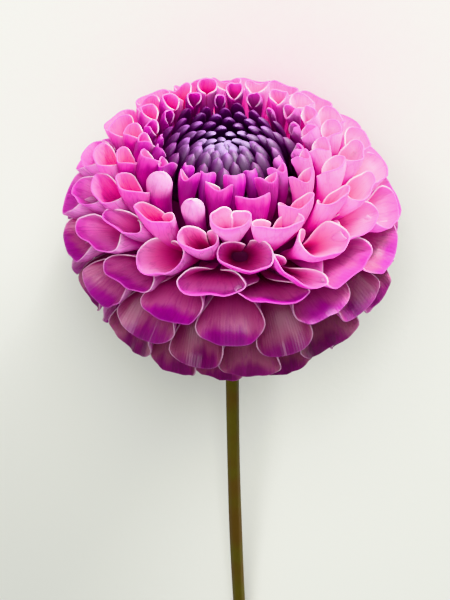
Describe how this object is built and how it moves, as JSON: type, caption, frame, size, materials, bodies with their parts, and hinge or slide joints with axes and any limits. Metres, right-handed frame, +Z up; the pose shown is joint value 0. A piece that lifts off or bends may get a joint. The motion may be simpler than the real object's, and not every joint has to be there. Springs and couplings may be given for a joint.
{
  "type": "pompon dahlia flower",
  "caption": "Cut pompon dahlia: a ball of rolled ray petals round a dark closed centre, on a green calyx and a short stem, lying on its side.",
  "frame": {"origin": "on the surface that the flower lies on, under the middle of its bounding box", "axes": "+Z up, +Y along the stem away from the bloom, +X across"},
  "size_m": [0.0599, 0.1264, 0.0578],
  "materials": {
    "petals": "soft satin petal, magenta with paler rims",
    "centre_florets": "dark purple closed florets, satin",
    "calyx": "matte green leaf",
    "stem": "matte reddish green stem with fine hairs"
  },
  "bodies": {
    "root": {"petals": "petals", "centre_florets": "centre_florets", "calyx": "calyx", "stem": "stem"}
  },
  "joints": []
}
